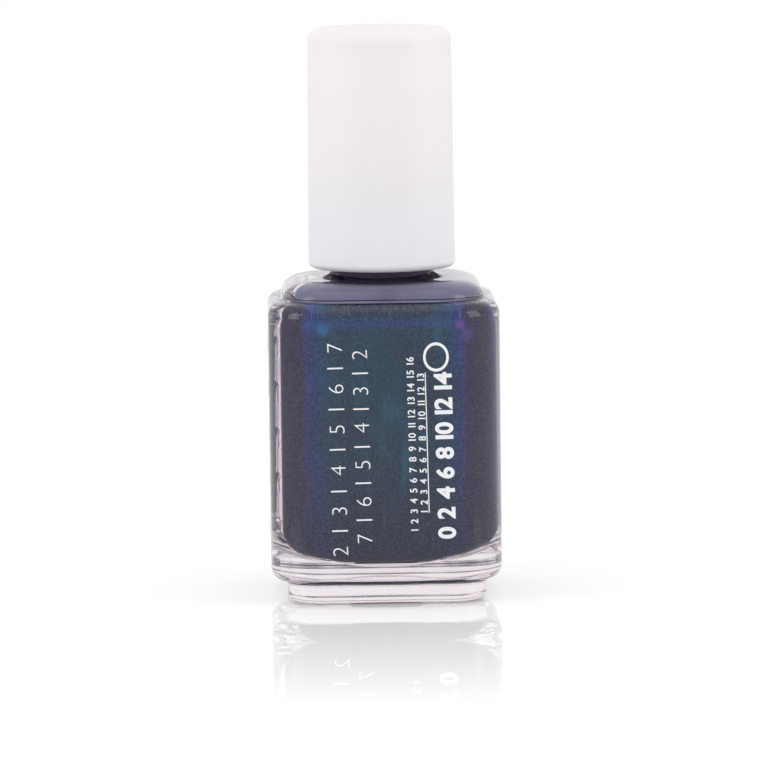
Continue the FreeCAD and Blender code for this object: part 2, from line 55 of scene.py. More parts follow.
# Gives an input its value, or links it to another node's output.
def feed(socket, thing):
    if isinstance(thing, bpy.types.NodeSocket):
        thing.id_data.links.new(thing, socket)
    elif thing is not None:
        if socket.type == "RGBA" and len(thing) == 3:
            thing = (*thing, 1.0)
        socket.default_value = thing


# Each setting names an input of the node or one of its properties.
def addNode(tree, kind, **settings):
    node = tree.nodes.new(kind)
    spot = len(tree.nodes) - 1
    node.location = (240 * (spot % 8), -260 * (spot // 8))
    for key, setting in settings.items():
        if key in node.inputs:
            feed(node.inputs[key], setting)
        else:
            setattr(node, key, setting)
    return node


def treeOf(*things):
    return next(thing.id_data for thing in things if isinstance(thing, bpy.types.NodeSocket))


def mathNode(operation, first, second=0.0, third=None):
    node = addNode(treeOf(first, second), "ShaderNodeMath", operation=operation)
    for socket, thing in zip(node.inputs, (first, second, third)):
        feed(socket, thing)
    return node.outputs[0]


def plus(first, second):
    return mathNode("ADD", first, second)


def minus(first, second):
    return mathNode("SUBTRACT", first, second)


def times(first, second):
    return mathNode("MULTIPLY", first, second)


def larger(first, second):
    return mathNode("MAXIMUM", first, second)


def mapRange(value, low, high, toLow=0.0, toHigh=1.0):
    node = addNode(value.id_data, "ShaderNodeMapRange", interpolation_type="SMOOTHSTEP")
    for socket, thing in zip(node.inputs, (value, low, high, toLow, toHigh)):
        feed(socket, thing)
    return node.outputs[0]


def mixColour(factor, first, second):
    node = addNode(treeOf(factor, first, second), "ShaderNodeMix", data_type="RGBA")
    for index, thing in ((0, factor), (6, first), (7, second)):
        feed(node.inputs[index], thing)
    return node.outputs[2]


def vectorNode(operation, first, second=None):
    node = addNode(first.id_data, "ShaderNodeVectorMath", operation=operation)
    feed(node.inputs[0], first)
    feed(node.inputs[1], second)
    return node.outputs["Value" if operation in ("DISTANCE", "LENGTH") else "Vector"]


def noise(vector, scale, detail=2.0, roughness=0.5, distortion=0.0):
    return addNode(vector.id_data, "ShaderNodeTexNoise", Vector=vector, Scale=scale, Detail=detail,
                   Roughness=roughness, Distortion=distortion).outputs[0]


def splitAxes(vector):
    return addNode(vector.id_data, "ShaderNodeSeparateXYZ", Vector=vector).outputs


def ramp(value, stops):
    node = addNode(value.id_data, "ShaderNodeValToRGB", Fac=value)
    band = node.color_ramp
    while len(band.elements) < len(stops):
        band.elements.new(0.5)
    for element, (place, colour) in zip(band.elements, stops):
        element.position = place
        element.color = (*colour, 1.0)
    return node.outputs[0]


# A shader or geometry group with named inputs (label, kind, start) and outputs (label, kind).
def newGroup(name, kind, inputs, outputs):
    group = bpy.data.node_groups.new(name, kind)
    for label, socketKind, start in inputs:
        socket = group.interface.new_socket(label, in_out="INPUT", socket_type="NodeSocket" + socketKind)
        if start is not None:
            socket.default_value = start
    for label, socketKind in outputs:
        group.interface.new_socket(label, in_out="OUTPUT", socket_type="NodeSocket" + socketKind)
    return group, addNode(group, "NodeGroupInput").outputs, addNode(group, "NodeGroupOutput").inputs


# Fine grain of a moulded or handled surface: a height, and slow blotches from 0 to 1.
def makeGrainGroup():
    group, given, result = newGroup(
        "surfaceGrain", "ShaderNodeTree",
        [("Vector", "Vector", None), ("Grain Scale", "Float", 900.0), ("Blotch Scale", "Float", 60.0),
         ("Detail", "Float", 4.0)],
        [("Height", "Float"), ("Blotch", "Float")])
    feed(result["Height"], noise(given["Vector"], given["Grain Scale"], given["Detail"]))
    feed(result["Blotch"], mapRange(noise(given["Vector"], given["Blotch Scale"]), 0.35, 0.68))
    return group


# Metal flakes: the brightness of each flake from 0 to 1, and a random colour for each.
def makeFlakeGroup():
    group, given, result = newGroup(
        "mirrorFlakes", "ShaderNodeTree",
        [("Vector", "Vector", None), ("Flake Scale", "Float", 6000.0), ("Cover", "Float", 0.35)],
        [("Flake", "Float"), ("Tint", "Color")])
    cells = addNode(group, "ShaderNodeTexVoronoi", Vector=given["Vector"], Scale=given["Flake Scale"])
    split = addNode(group, "ShaderNodeSeparateColor", Color=cells.outputs["Color"])
    lit = mathNode("GREATER_THAN", split.outputs[0], minus(1.0, given["Cover"]))
    feed(result["Flake"], times(lit, split.outputs[1]))
    feed(result["Tint"], cells.outputs["Color"])
    return group


grainGroup = makeGrainGroup()
flakeGroup = makeFlakeGroup()


# The height and the blotches of a surface, at the given scales.
def addGrain(place, fine, blotches, detail=4.0):
    node = addNode(place.id_data, "ShaderNodeGroup", node_tree=grainGroup,
                   **{"Vector": place, "Grain Scale": fine, "Blotch Scale": blotches, "Detail": detail})
    return node.outputs["Height"], node.outputs["Blotch"]


def addFlakes(place, cover):
    node = addNode(place.id_data, "ShaderNodeGroup", node_tree=flakeGroup,
                   **{"Vector": place, "Flake Scale": polishLook["flakeScale"], "Cover": cover})
    return node.outputs["Flake"], node.outputs["Tint"]


def newMaterial(name):
    material = bpy.data.materials.new(name)
    material.use_nodes = True
    material.node_tree.nodes.clear()
    return material, addNode(material.node_tree, "ShaderNodeTexCoord").outputs["Object"]


def finishMaterial(material, bump=None, **settings):
    tree = material.node_tree
    shader = addNode(tree, "ShaderNodeBsdfPrincipled", **settings)
    if bump:
        height, strength, distance = bump
        dent = addNode(tree, "ShaderNodeBump", Strength=strength, Distance=distance, Height=height)
        feed(shader.inputs["Normal"], dent.outputs[0])
    addNode(tree, "ShaderNodeOutputMaterial", Surface=shader.outputs[0])
    return material


glassLook = {
    "tint": (0.850, 0.788, 0.820),
    "sheen": (0.97, 0.92, 0.95),  # what its polished faces do to a reflection's colour
    "ior": 1.52,
    "waviness": 0.25,
    "waveDepth": 0.05 * mm,
    "waveScale": 150.0,
    "smudge": 0.045,
    "smudgeScale": 55.0,
}


def makeGlassMaterial():
    look = glassLook
    material, place = newMaterial("clearGlass")
    height, blotch = addGrain(place, look["waveScale"], look["smudgeScale"], 0.0)
    return finishMaterial(material, (height, look["waviness"], look["waveDepth"]), **{
        "Base Color": look["tint"], "Transmission Weight": 1.0, "IOR": look["ior"],
        "Specular Tint": look["sheen"], "Roughness": times(blotch, look["smudge"])})


polishLook = {
    "deep": (0.018, 0.020, 0.066),
    "cornerShade": (0.040, 0.037, 0.092),  # painted shade round the corners, where the pigment's colour darkens with the angle of view
    "teal": (0.003, 0.080, 0.150),
    "blue": (0.006, 0.066, 0.250),
    "violet": (0.052, 0.052, 0.250),
    "streak": (0.004, 0.190, 0.300),
    "turns": [(0.0, "cornerShade"), (0.64, "cornerShade"), (0.71, "violet"), (0.78, "blue"), (0.92, "teal")],
    "cloudScale": 85.0,
    "cloudTurn": 0.05,  # how far the clouds shift the turn of colour
    "cloudDeep": 0.5,
    "streakScale": 210.0,
    "streakEdge": (0.60, 0.74),
    "streakField": (0.80, 0.97),
    "streakShare": 0.6,
    "slant": math.radians(40.0),  # how far the streaks lean, and how long they are drawn
    "drawn": (1.0, 1.0, 0.22),
    "glow": (0.020, 0.070, 0.340),  # a painted band of light under the shoulder
    "glowShare": 0.55,
    "glowField": (0.66, 0.76),
    "glowHeight": 36.9 * mm,
    "glowSpread": 1.0 * mm,
    "deepFrom": 27.0 * mm,  # the deep colour gains from this height down to the next
    "deepTo": 8.0 * mm,
    "deepShare": (0.80, 0.10),
    "flat": 4.7 * mm,  # half the straight part of a side of the cavity
    "sidesFrom": 0.90,  # the side faces turn teal less than the front and back
    "sidesShare": 0.76,
    # painted shade and light above the field, dark bands of shadow and light bands under the shoulder and the
    # cap: the height in mm where one starts, where it is full, and the colour
    "above": [(37.5, 38.0, (0.036, 0.034, 0.095)), (38.45, 38.7, (0.230, 0.240, 0.400)),
              (40.0, 40.3, (0.070, 0.065, 0.120)), (40.75, 41.1, (0.240, 0.200, 0.310))],
    # painted glints, bright patches of light at the corners under the shoulder and on the face: place and
    # reach in mm, strength and colour
    "paintedGlints": [((-8.0, -10.9, 36.2), 1.35, 0.62, (0.008, 0.220, 0.520)),
              ((-9.6, -9.7, 36.5), 1.3, 0.35, (0.010, 0.110, 0.400)),
              ((9.4, -9.9, 36.5), 0.9, 0.70, (0.260, 0.070, 0.500)),
              ((10.0, -9.3, 35.3), 1.4, 0.60, (0.110, 0.080, 0.400)),
              ((0.8, -11.7, 25.5), 2.6, 0.60, (0.004, 0.150, 0.230)),
              ((7.2, -11.2, 25.2), 1.5, 0.60, (0.050, 0.120, 0.300)),
              ((0.4, -11.0, 39.9), 2.6, 0.50, (0.090, 0.110, 0.320))],
    "flakeScale": 9000.0,
    "flakeCover": 0.45,
    "flakeShare": 0.22,
    "flakeTone": (0.04, 0.14, 0.30),
    "flakeTint": 0.3,
    "wetRatio": 0.935,  # refractive index of the polish over that of the glass
    "sideRatio": 0.66,  # the same on the side walls, where the film is thinnest
    "leftFrom": 0.940,  # how squarely a wall must face sideways for that
    "leftTo": 0.985,
    "rightFrom": 0.985,
    "rightShare": 0.5,
    "mirror": (0.97, 0.92, 0.95),
    "mirrorRough": 0.06,
    "wetRough": 0.4,  # how much rougher it is where the glass isn't a mirror
}


# How squarely a point of the square wall faces front or back, and left or right, from 0 to 1.
def wallFacing(place, flat):
    past = vectorNode("SUBTRACT", vectorNode("ABSOLUTE", place), (flat, flat, 0.0))
    kept = vectorNode("MAXIMUM", past)
    level = vectorNode("MULTIPLY", kept, (1.0, 1.0, 0.0))
    across, along, _ = splitAxes(vectorNode("NORMALIZE", level))
    return along, across


def makePolishMaterial():
    look = polishLook
    material, place = newMaterial("shimmerPolish")
    tree = material.node_tree
    across, _, height = splitAxes(place)
    front, side = wallFacing(place, look["flat"])
    cloud = mapRange(noise(place, look["cloudScale"], distortion=1.1), 0.34, 0.66)
    # the colour turns from teal on the flat of a face to blue, violet and painted corner shade round its
    # corner, the pigment's change with the angle of view painted by place
    wander = times(minus(cloud, 0.5), look["cloudTurn"])
    lessSide = mapRange(side, look["sidesFrom"], 1.0, 0.0, look["sidesShare"])
    flop = plus(larger(front, lessSide), wander)
    turn = ramp(flop, [(place, look[name]) for place, name in look["turns"]])
    lowShare = mapRange(height, look["deepTo"], look["deepFrom"], *look["deepShare"])
    current = mixColour(larger(lowShare, times(cloud, look["cloudDeep"])), turn, look["deep"])
    # slanting brighter runs of pigment on each face
    slant = addNode(tree, "ShaderNodeMapping", Vector=place, Rotation=(0.0, look["slant"], 0.0),
                    Scale=look["drawn"])
    runs = noise(slant.outputs[0], look["streakScale"], 3.0, 0.55)
    run = times(mapRange(runs, *look["streakEdge"]), mapRange(flop, *look["streakField"]))
    current = mixColour(times(run, look["streakShare"]), current, look["streak"])
    # the painted band of light under the shoulder, on the faces only
    offset = mathNode("ABSOLUTE", minus(height, look["glowHeight"]))
    band = mapRange(offset, 0.0, look["glowSpread"], look["glowShare"], 0.0)
    current = mixColour(times(band, mapRange(flop, *look["glowField"])), current, look["glow"])
    # painted bands of shadow and light up the shoulder and under the cap
    for start, full, colour in look["above"]:
        current = mixColour(mapRange(height, start * mm, full * mm), current, colour)
    # painted glints: each patch of light fades out from its middle
    for middle, reach, strength, colour in look["paintedGlints"]:
        away = vectorNode("DISTANCE", place, tuple(part * mm for part in middle))
        glintPatch = mapRange(away, 0.1 * reach * mm, reach * mm, strength, 0.0)
        current = mixColour(glintPatch, current, colour)
    flake, tint = addFlakes(place, look["flakeCover"])
    glint = mixColour(look["flakeTint"], look["flakeTone"], tint)
    colour = mixColour(times(flake, look["flakeShare"]), current, glint)
    # at a shallow angle the glass wall shines like a mirror where the thinner polish wets it
    left = mathNode("LESS_THAN", across, 0.0)
    leftShare = times(left, mapRange(side, look["leftFrom"], look["leftTo"]))
    rightShare = mapRange(side, look["rightFrom"], 1.0, 0.0, look["rightShare"])
    ratio = mathNode("MULTIPLY_ADD", larger(leftShare, rightShare), look["sideRatio"] - look["wetRatio"],
                     look["wetRatio"])
    shallow = addNode(tree, "ShaderNodeFresnel", IOR=ratio).outputs[0]
    dull = mathNode("MULTIPLY_ADD", minus(1.0, shallow), look["wetRough"], look["mirrorRough"])
    return finishMaterial(material, **{
        "Base Color": mixColour(shallow, colour, look["mirror"]), "Metallic": shallow, "Roughness": dull,
        "Specular IOR Level": 0.0})


capLook = {
    # painted shade and light: heights as shares of the cap, from its lip up, and the colour there, darker low
    # on the wall and lighter towards the top, as the light falls
    "shadeByHeight": [(0.0, (0.880, 0.872, 0.912)), (0.035, (0.848, 0.838, 0.875)), (0.10, (0.838, 0.827, 0.868)),
              (0.20, (0.835, 0.822, 0.860)), (0.36, (0.850, 0.824, 0.842)), (0.52, (0.878, 0.844, 0.846)),
              (0.86, (0.900, 0.866, 0.856)), (1.0, (0.872, 0.838, 0.834))],
    "handled": (0.80, 0.775, 0.75),  # the faint blotches of a cap that fingers turn
    "handledShare": 0.10,
    "grainScale": 2600.0,
    "blotchScale": 90.0,
    "roughness": (0.38, 0.46),
}


def makeCapMaterial():
    look = capLook
    material, place = newMaterial("satinCap")
    height = addNode(material.node_tree, "ShaderNodeMapRange", **{
        "Value": splitAxes(place)[2], "From Min": capLow.z, "From Max": capHigh.z})
    grain, blotch = addGrain(place, look["grainScale"], look["blotchScale"], 3.0)
    # the cap's painted shade and light, by height
    shadedTone = ramp(height.outputs[0], look["shadeByHeight"])
    return finishMaterial(material, (grain, 0.12, 0.01 * mm), **{
        "Base Color": mixColour(times(blotch, look["handledShare"]), shadedTone, look["handled"]),
        "Roughness": mapRange(blotch, 0.0, 1.0, *look["roughness"]), "IOR": 1.46, "Subsurface Weight": 0.15,
        "Subsurface Radius": (1.0, 0.8, 0.7), "Subsurface Scale": 0.6 * mm})


# One recipe for the plain moulded plastics: colour, a slightly different blotch and a fine grain.
def makePlasticMaterial(name, colour, blotchColour, roughness, grainScale, **extra):
    material, place = newMaterial(name)
    grain, blotch = addGrain(place, grainScale, 160.0, 3.0)
    return finishMaterial(material, (grain, 0.15, 0.015 * mm), **{
        "Base Color": mixColour(times(blotch, 0.5), colour, blotchColour),
        "Roughness": mapRange(grain, 0.3, 0.7, roughness - 0.05, roughness + 0.06), **extra})


wetLook = {
    "edgeFrom": 2.2 * mm,  # the film ends between these heights over the wet part
    "edgeTo": 3.0 * mm,
    "runLength": 5.0 * mm,
    "runScale": 700.0,
    "drawn": (1.0, 1.0, 0.12),
    "flakeCover": 0.4,
    "flakeShare": 0.6,
    "flakeTone": (0.06, 0.16, 0.30),
    "roughness": (0.42, 0.18),  # dry, then wet
}


# Plastic that is wet with polish up to a height.
def makeWetMaterial(name, wetTop, dry, wet):
    look = wetLook
    material, place = newMaterial(name)
    stretch = addNode(material.node_tree, "ShaderNodeMapping", Vector=place, Scale=look["drawn"])
    runs = noise(stretch.outputs[0], look["runScale"])
    edge = plus(splitAxes(place)[2], times(runs, look["runLength"]))
    wetness = mapRange(edge, wetTop + look["edgeFrom"], wetTop + look["edgeTo"], 1.0, 0.0)
    flake, _ = addFlakes(place, look["flakeCover"])
    wetColour = mixColour(times(flake, look["flakeShare"]), wet, look["flakeTone"])
    return finishMaterial(material, (runs, 0.2, 0.05 * mm), **{
        "Base Color": mixColour(wetness, dry, wetColour), "Coat Weight": wetness, "IOR": 1.5,
        "Coat IOR": 1.5, "Roughness": mapRange(wetness, 0.0, 1.0, *look["roughness"])})


def makeSteelMaterial(name, colour, roughness, drawn):
    material, place = newMaterial(name)
    stretch = addNode(material.node_tree, "ShaderNodeMapping", Vector=place, Scale=drawn)
    grain, blotch = addGrain(stretch.outputs[0], 3200.0, 300.0)
    darker = tuple(0.8 * part for part in colour)
    return finishMaterial(material, (grain, 0.1, 0.01 * mm), **{
        "Base Color": mixColour(times(blotch, 0.35), colour, darker), "Metallic": 1.0,
        "Roughness": mapRange(grain, 0.3, 0.7, roughness * 0.8, roughness * 1.3)})


def makeInkMaterial():
    material, place = newMaterial("whiteInk")
    grain, blotch = addGrain(place, 7000.0, 900.0, 2.0)
    return finishMaterial(material, (grain, 0.1, 0.01 * mm), **{
        "Base Color": mixColour(times(blotch, 0.25), (0.90, 0.91, 0.93), (0.74, 0.77, 0.84)),
        "Roughness": 0.5})


glassMaterial = makeGlassMaterial()
polishMaterial = makePolishMaterial()
capMaterial = makeCapMaterial()
innerCapMaterial = makePlasticMaterial("innerCapPlastic", (0.74, 0.73, 0.70), (0.68, 0.67, 0.64), 0.4, 1800.0,
                                       **{"Subsurface Weight": 0.2, "Subsurface Scale": 0.8 * mm})
sealMaterial = makePlasticMaterial("softSeal", (0.70, 0.70, 0.67), (0.62, 0.62, 0.60), 0.5, 1500.0,
                                   **{"Subsurface Weight": 0.3, "Subsurface Scale": 0.8 * mm})
labelMaterial = makePlasticMaterial("labelFilm", (0.82, 0.82, 0.80), (0.76, 0.76, 0.75), 0.55, 4200.0)
stemMaterial = makeWetMaterial("stemPlastic", polishLevel, (0.70, 0.70, 0.67), (0.012, 0.022, 0.060))
bristleMaterial = makeWetMaterial("wetBristle", tuftHigh.z + 10 * mm, (0.02, 0.02, 0.03),
                                  (0.010, 0.020, 0.055))
ballMaterial = makeSteelMaterial("ballSteel", (0.60, 0.60, 0.61), 0.12, (1.0, 1.0, 1.0))
anchorMaterial = makeSteelMaterial("anchorSteel", (0.55, 0.55, 0.56), 0.3, (0.08, 1.0, 1.0))
inkMaterial = makeInkMaterial()
print("materials made:", len(bpy.data.materials))


def report(piece):
    print(piece.name, "built:", len(piece.data.polygons), "faces")


def addObject(name, data):
    made = bpy.data.objects.new(name, data)
    bpy.context.scene.collection.objects.link(made)
    return made


# Distance from the axis to a round-cornered square, and its outward direction there.
# flat is half the straight part of a side, so a ring with none is a circle.
def reachOf(half, flat, angle):
    across, along = math.cos(angle), math.sin(angle)
    first, second = abs(across), abs(along)
    swapped = second > first
    if swapped:
        first, second = second, first
    if half * second <= flat * first:
        distance = half / first
        outward = (1.0, 0.0)
    else:
        corner = half - flat
        lean = flat * (first + second)
        distance = lean + math.sqrt(max(lean * lean - 2 * flat * flat + corner * corner, 0.0))
        outward = ((distance * first - flat) / corner, (distance * second - flat) / corner)
    if swapped:
        outward = (outward[1], outward[0])
    return distance, (math.copysign(outward[0], across), math.copysign(outward[1], along))


# Angles of the points round a ring: even along the sides and closer together at the corners.
def ringAngles(sideSteps, cornerSteps, cornerStart=math.radians(24.0)):
    quarter = [-cornerStart + 2 * cornerStart * step / sideSteps for step in range(sideSteps)]
    spread = math.pi / 2 - 2 * cornerStart
    quarter += [cornerStart + spread * step / cornerSteps for step in range(cornerSteps)]
    return [angle + turn * math.pi / 2 for turn in range(4) for angle in quarter]


# A station is (half, flat, height, outward share of the normal, upward share of the normal).
def arcStations(centreHalf, flat, centreZ, radius, start, stop, steps, sign=1):
    stations = []
    for step in range(steps + 1):
        angle = math.radians(start + (stop - start) * step / steps)
        stations.append((centreHalf + radius * math.cos(angle), flat, centreZ + radius * math.sin(angle),
                         sign * math.cos(angle), sign * math.sin(angle)))
    return stations


# The stations between two others, without those two.
def lineStations(first, last, steps):
    return [tuple(a + (b - a) * step / steps for a, b in zip(first, last)) for step in range(1, steps)]


# The same on a level face, between two (half, flat) outlines, and on an upright one.
def levelStations(first, last, height, up, steps):
    return lineStations((*first, height, 0.0, up), (*last, height, 0.0, up), steps)


def wallStations(half, flat, start, stop, out, steps):
    return lineStations((half, flat, start, out, 0.0), (half, flat, stop, out, 0.0), steps)


# Lofts a closed shell through the stations, from a pole on the axis to another pole.
# push gives how far a point is moved outward, for threads, bars and keys.
def ringShell(name, material, stations, angles, push=None):
    vertices = []
    normals = []
    pushed = []
    for half, flat, height, out, up in stations[1:-1]:
        for angle in angles:
            distance, outward = reachOf(half, min(flat, half * 0.999), angle)
            x, y = distance * math.cos(angle), distance * math.sin(angle)
            shift = push(x, y, height, out) if push else 0.0
            pushed.append(abs(shift) > 1e-9)
            vertices.append((x + outward[0] * shift, y + outward[1] * shift, height))
            normals.append(Vector((outward[0] * out, outward[1] * out, up)).normalized())
    count = len(angles)
    top = (len(stations) - 3) * count
    faces = []
    for base in range(0, top, count):
        for index in range(count):
            following = (index + 1) % count
            faces.append((base + index, base + following, base + count + following, base + count + index))
    firstPole = len(vertices)
    for pole in (stations[0], stations[-1]):
        vertices.append((0.0, 0.0, pole[2]))
        normals.append(Vector((0, 0, math.copysign(1, pole[4]))))
        pushed.append(False)
    for index in range(count):
        following = (index + 1) % count
        faces.append((firstPole, following, index))
        faces.append((firstPole + 1, top + index, top + following))
    mesh = bpy.data.meshes.new(name)
    mesh.from_pydata(vertices, [], faces)
    mesh.update()
    mesh.shade_smooth()
    near = set()
    for edge in mesh.edges:
        if pushed[edge.vertices[0]] or pushed[edge.vertices[1]]:
            near.update(edge.vertices)
    own = [mesh.vertex_normals[i].vector if i in near else normals[i] for i in range(len(vertices))]
    mesh.normals_split_custom_set_from_vertices(own)
    mesh.materials.append(material)
    return addObject(name, mesh)


glass = {
    "bodyHalf": 15.2 * mm,
    "bodyFlat": 7.7 * mm,  # half the straight part of a body side
    "footHalf": 13.0 * mm,
    "footFlat": 8.5 * mm,
    "footHeight": 2.7 * mm,
    "footEdge": 1.0 * mm,
    "baseRound": 1.9 * mm,
    "shoulder": 39.6 * mm,
    "shoulderRound": 1.9 * mm,
    "plinthHalf": 13.2 * mm,
    "plinthFlat": 6.2 * mm,
    "plinthTop": 42.05 * mm,
    "plinthRound": 2.1 * mm,
    "plinthReach": 4.0 * mm,  # its top edge is rounded over this width
    "recessHalf": 10.2 * mm,
    "recessFlat": 7.2 * mm,
    "recessDepth": 0.6 * mm,
    "recessLip": 0.21 * mm,
    "neck": 6.6 * mm,
    "mouth": 4.4 * mm,
    "rimRound": 0.5 * mm,
    "rootReach": 2.5 * mm,  # the neck flares out this far into the plinth's top
    "rootRise": 1.0 * mm,
    "cavityHalf": 11.7 * mm,
    "cavityFlat": 4.7 * mm,
    "cavityRound": 4.6 * mm,
    "cavityFloor": 4.9 * mm,
    "cavityBowl": 0.9 * mm,  # how much deeper the floor is at its middle
    "cavityLowFlat": 2.0 * mm,  # the straight part is shorter at the bottom, so its corners lift
    "cavityTop": 40.55 * mm,
    "funnel": 1.2 * mm,
    "crease": 0.3 * mm,  # the small round that moulded glass has in every inner corner
    "baseCrease": 0.43 * mm,
    "plinthCrease": 0.5 * mm,
    "threadPitch": 2.117 * mm,
    "threadDepth": 0.6 * mm,
    "threadHalfWidth": 0.62 * mm,
    "threadTurns": 1.5,
    "threadDrop": 1.6 * mm,
    "threadFade": 0.09,  # the share of a turn over which each end of the ridge fades
    "threadFlank": 0.62,
    "barHalfLength": 6.0 * mm,
    "barHalfHeight": 1.6 * mm,
    "barProud": 0.16 * mm,
    "barPitch": 6.0 * mm,
    "barCount": 5,
    "barMiddle": 21.15 * mm,
    "barFall": 0.8,
    "squarely": 0.9,  # only faces that look outward at least this much are pushed
}


def smoothStep(low, high, value):
    share = min(max((value - low) / (high - low), 0.0), 1.0)
    return share * share * (3 - 2 * share)


# Height of the right-hand thread over the neck, faded at its two ends.
def threadRise(x, y, height):
    g = glass
    turns, pitch, halfWidth = g["threadTurns"], g["threadPitch"], g["threadHalfWidth"]
    start = rimTop - g["threadDrop"] - turns * pitch + halfWidth
    turn = (math.atan2(y, x) / (2 * math.pi)) % 1.0
    rise = 0.0
    for lap in range(int(turns) + 2):
        along = turn + lap
        offset = abs(height - (start + along * pitch)) / halfWidth
        if along <= turns + 1e-9 and offset < 1.0:
            fade = smoothStep(0.0, g["threadFade"], along) * smoothStep(0.0, g["threadFade"], turns - along)
            rise = max(rise, g["threadDepth"] * fade * smoothStep(0.0, g["threadFlank"], 1.0 - offset))
    return rise


# The thread on the neck, and the grip bars on the left and right faces.
def glassPush(x, y, height, out):
    g = glass
    if out < g["squarely"]:
        return 0.0
    if g["plinthTop"] < height:
        return threadRise(x, y, height)
    if abs(x) > g["bodyHalf"] - 0.01 * mm:
        for index in range(g["barCount"]):
            middle = g["barMiddle"] + (index - (g["barCount"] - 1) / 2) * g["barPitch"]
            spread = (y / g["barHalfLength"]) ** 2 + ((height - middle) / g["barHalfHeight"]) ** 2
            if spread < 1.0:
                return g["barProud"] * (1.0 - spread) ** g["barFall"]
    return 0.0


# A quarter of an ellipse, reach wide and rise high, between an upright wall and a level face.
# turn is 1 for an outer edge, from the wall up, and -1 for an inner corner, from the face up.
def quarterStations(half, flat, height, reach, rise, steps, turn):
    stations = []
    for step in range(steps + 1):
        angle = math.radians(90.0 * step / steps)
        first, second = (math.cos(angle), math.sin(angle))[::turn]
        slope = Vector((rise * first, reach * second)).normalized()
        stations.append((half - turn * reach * (1 - first), flat, height - turn * rise * (1 - second),
                         slope.x, slope.y))
    return stations


# The outside from under the foot up to the rim.
def outerStations():
    g = glass
    body, bodyFlat, foot, footFlat = g["bodyHalf"], g["bodyFlat"], g["footHalf"], g["footFlat"]
    recess, recessFlat, depth = g["recessHalf"], g["recessFlat"], g["recessDepth"]
    crease, lowCrease, topCrease = g["crease"], g["baseCrease"], g["plinthCrease"]
    edge, lip, baseRound = g["footEdge"], g["recessLip"], g["baseRound"]
    baseHalf, baseZ = body - baseRound, g["footHeight"] + baseRound
    meetAngle = -math.degrees(math.acos((foot - baseHalf + lowCrease) / (baseRound + lowCrease)))
    creaseZ = baseZ + (baseRound + lowCrease) * math.sin(math.radians(meetAngle))
    shoulder, shoulderRound = g["shoulder"], g["shoulderRound"]
    wallTop = shoulder - shoulderRound
    plinth, plinthFlat, plinthTop = g["plinthHalf"], g["plinthFlat"], g["plinthTop"]
    neck, rimRound = g["neck"], g["rimRound"]
    stations = [(0.0, 0.0, depth, 0.0, -1.0)]
    stations += levelStations((1.0 * mm, 0.7 * mm), (recess - crease, recessFlat), depth, -1.0, 6)
    stations += arcStations(recess - crease, recessFlat, depth - crease, crease, 90, 0, 5, -1)
    stations += arcStations(recess + lip, recessFlat, lip, lip, 180, 270, 5)
    stations += arcStations(foot - edge, footFlat, edge, edge, -90, 0, 9)
    # a small concave round joins the foot to the round under the body
    stations += arcStations(foot + lowCrease, footFlat, creaseZ, lowCrease, 180, 180 + meetAngle, 7, -1)
    stations += arcStations(baseHalf, bodyFlat, baseZ, baseRound, meetAngle, 0, 16)
    stations += wallStations(body, bodyFlat, baseZ, wallTop, 1.0, 112)
    stations += arcStations(body - shoulderRound, bodyFlat, wallTop, shoulderRound, 0, 88, 12)
    stations += arcStations(plinth + topCrease, plinthFlat, shoulder + topCrease, topCrease, 268, 180, 7, -1)
    stations += quarterStations(plinth, plinthFlat, plinthTop, g["plinthReach"], g["plinthRound"], 16, 1)
    stations += levelStations((plinth - g["plinthReach"], plinthFlat), (neck + g["rootReach"], 0.0),
                              plinthTop, 1.0, 8)
    stations += quarterStations(neck, 0.0, plinthTop, g["rootReach"], g["rootRise"], 8, -1)
    stations += wallStations(neck, 0.0, plinthTop + g["rootRise"], rimTop - rimRound, 1.0, 56)
    stations += arcStations(neck - rimRound, 0.0, rimTop - rimRound, rimRound, 0, 90, 6)
    return stations


# The inside from the rim or a lower top down to the floor. grow moves it into the glass.
def innerStations(grow=0.0, top=None):
    g = glass
    half, flat, lowFlat = g["cavityHalf"] + grow, g["cavityFlat"], g["cavityLowFlat"]
    radius, mouth = g["cavityRound"] + grow, g["mouth"] + grow
    roof, floor = g["cavityTop"] + grow, g["cavityFloor"] - grow
    funnel, bowl, rimRound = g["funnel"], g["cavityBowl"], g["rimRound"]
    inset = half - radius
    stations = []
    if top is None:
        top = rimTop - rimRound
        stations += arcStations(mouth + rimRound, 0.0, top, rimRound, 90, 180, 6)
    stations += wallStations(mouth, 0.0, top, roof + funnel, -1.0, 8)
    stations += arcStations(mouth + funnel, 0.0, roof + funnel, funnel, 180, 270, 7)
    stations += levelStations((mouth + funnel, 0.0), (inset, flat), roof, -1.0, 3)
    stations += arcStations(inset, flat, roof - radius, radius, 90, 0, 14, -1)
    stations += wallStations(half, flat, roof - radius, floor + radius, -1.0, 24)
    for ring in arcStations(inset, flat, floor + radius, radius, 0, -90, 20, -1):
        inward = (half - ring[0]) / radius
        stations.append((ring[0], flat + (lowFlat - flat) * inward, *ring[2:]))
    steps = 9
    for step in range(1, steps):
        share = 1 - step / steps
        steepness = bowl * math.pi / (2 * inset) * math.sin(share * math.pi / 2)
        stations.append((inset * share, lowFlat * share, floor - bowl * math.cos(share * math.pi / 2),
                         -steepness, 1.0))
    stations.append((0.0, 0.0, floor - bowl, 0.0, 1.0))
    return stations


def buildGlass():
    stations = outerStations() + innerStations()
    piece = ringShell("glassBottle", glassMaterial, stations, ringAngles(36, 28), glassPush)
    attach(piece, "bottle")
    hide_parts("glass_bottle")
    return piece


report(buildGlass())

polish = {
    "into": 0.03 * mm,  # how far it reaches into the glass, so that no air shows between them
    "coat": 0.16 * mm,  # the coat that it leaves on the glass above its level
    "coatTop": 49.2 * mm,
    "meniscus": 0.9 * mm,
}


